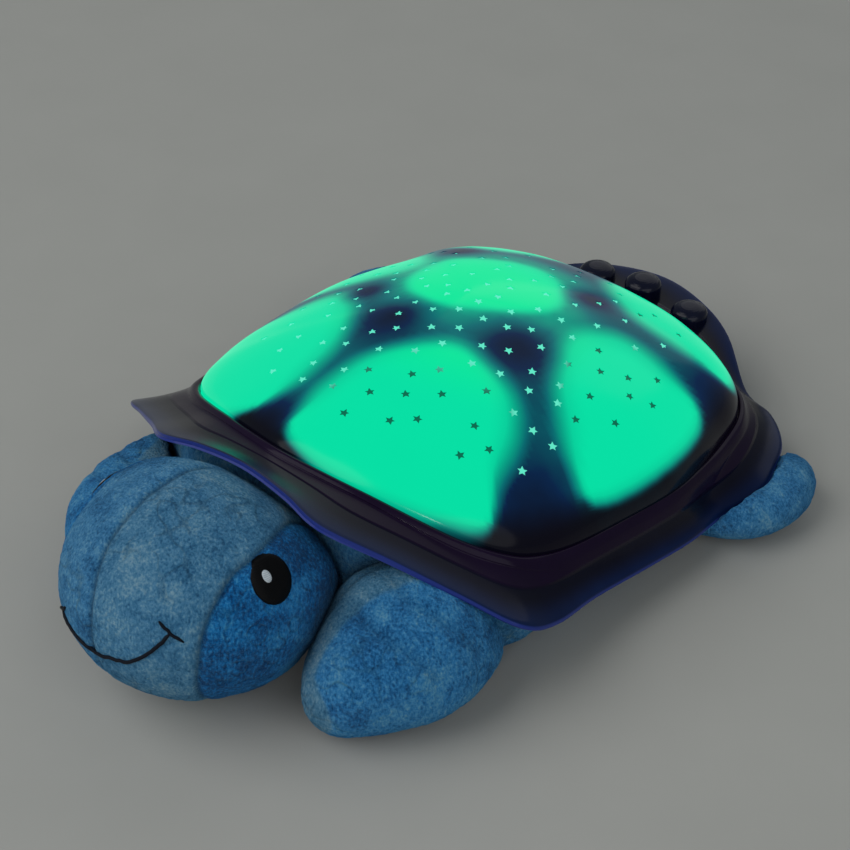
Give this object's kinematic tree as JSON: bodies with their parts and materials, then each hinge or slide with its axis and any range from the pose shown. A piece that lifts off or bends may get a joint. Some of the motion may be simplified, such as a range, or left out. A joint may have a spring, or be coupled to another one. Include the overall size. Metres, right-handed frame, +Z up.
{
  "type": "star projector night light",
  "caption": "Plush turtle night light: a glossy star-pierced light dome on a padded body, press buttons on the tail deck and a battery bay behind a belly flap.",
  "frame": {"origin": "centre of the belly, on the surface that the projector rests on", "axes": "+Z up; -Y towards the head, +Y towards the tail; +X towards the turtle's own left"},
  "size_m": [0.251, 0.35, 0.088],
  "materials": {
    "glow_shell": "gloss, lit from inside",
    "navy_shell": "high gloss",
    "tray_plastic": "fine matt texture",
    "steel": "plated",
    "cell_wrap": "gloss wrap",
    "circuit_board": "solder mask",
    "chip_black": "matt",
    "can_black": "gloss",
    "resistor_tan": "gloss lacquer",
    "white_plastic": "matt",
    "lens_blue": "clear tinted",
    "lens_green": "clear tinted",
    "lens_amber": "clear tinted",
    "ribbon_grey": "satin",
    "lead_red": "satin",
    "lead_black": "satin",
    "plush": "short pile",
    "flap_cloth": "woven",
    "tape": "touch tape",
    "eye_thread": "satin stitch"
  },
  "bodies": {
    "projector": {"dome_shell": "glow_shell", "shell_brim": "navy_shell", "base_tray": "tray_plastic", "shell_screws": "steel", "battery_1": "cell_wrap", "battery_2": "cell_wrap", "battery_3": "cell_wrap", "battery_springs": "steel", "battery_contacts": "steel", "main_board": "circuit_board", "board_screws": "steel", "timer_chip": "chip_black", "capacitor": "can_black", "resistors": "resistor_tan", "led_holder": "white_plastic", "led_blue": "lens_blue", "led_green": "lens_green", "led_amber": "lens_amber", "button_frame": "tray_plastic", "frame_screws": "steel", "button_board": "circuit_board", "button_board_screws": "steel", "switch_bodies": "chip_black", "button_ribbon": "ribbon_grey", "lead_red": "lead_red", "lead_black": "lead_black", "plush_body": "plush", "loop_strip": "tape", "plush_head": "plush", "eyes": "eye_thread", "front_flipper_left": "plush", "front_flipper_right": "plush", "rear_flipper_left": "plush", "rear_flipper_right": "plush", "plush_tail": "plush"},
    "button_left": {"button_left": "navy_shell", "plunger_left": "white_plastic"},
    "button_centre": {"button_centre": "navy_shell", "plunger_centre": "white_plastic"},
    "button_right": {"button_right": "navy_shell", "plunger_right": "white_plastic"},
    "belly_flap": {"belly_flap": "flap_cloth", "hook_strip": "tape"},
    "battery_door": {"battery_door": "tray_plastic", "door_screw": "steel"}
  },
  "joints": [
    {"name": "button_left_press", "type": "slide", "parent": "projector", "child": "button_left", "axis": [0, 0, -1], "range_m": [0, 0.001], "stiffness_N_per_m": 1500, "springref_m": -0.0003},
    {"name": "button_centre_press", "type": "slide", "parent": "projector", "child": "button_centre", "axis": [0, 0, -1], "range_m": [0, 0.001], "stiffness_N_per_m": 1500, "springref_m": -0.0003},
    {"name": "button_right_press", "type": "slide", "parent": "projector", "child": "button_right", "axis": [0, 0, -1], "range_m": [0, 0.001], "stiffness_N_per_m": 1500, "springref_m": -0.0003},
    {"name": "belly_flap_hinge", "type": "hinge", "parent": "projector", "child": "belly_flap", "pos_m": [0, -0.016, 0.0005], "axis": [-1, 0, 0], "range_deg": [0, 100]},
    {"name": "battery_door_hinge", "type": "hinge", "parent": "projector", "child": "battery_door", "pos_m": [0, -0.00375, 0.0054], "axis": [-1, 0, 0], "range_deg": [0, 80]}
  ],
  "couplings": [
    {"joint": "battery_door_hinge", "follows": "belly_flap_hinge", "ratio": 0.8}
  ]
}
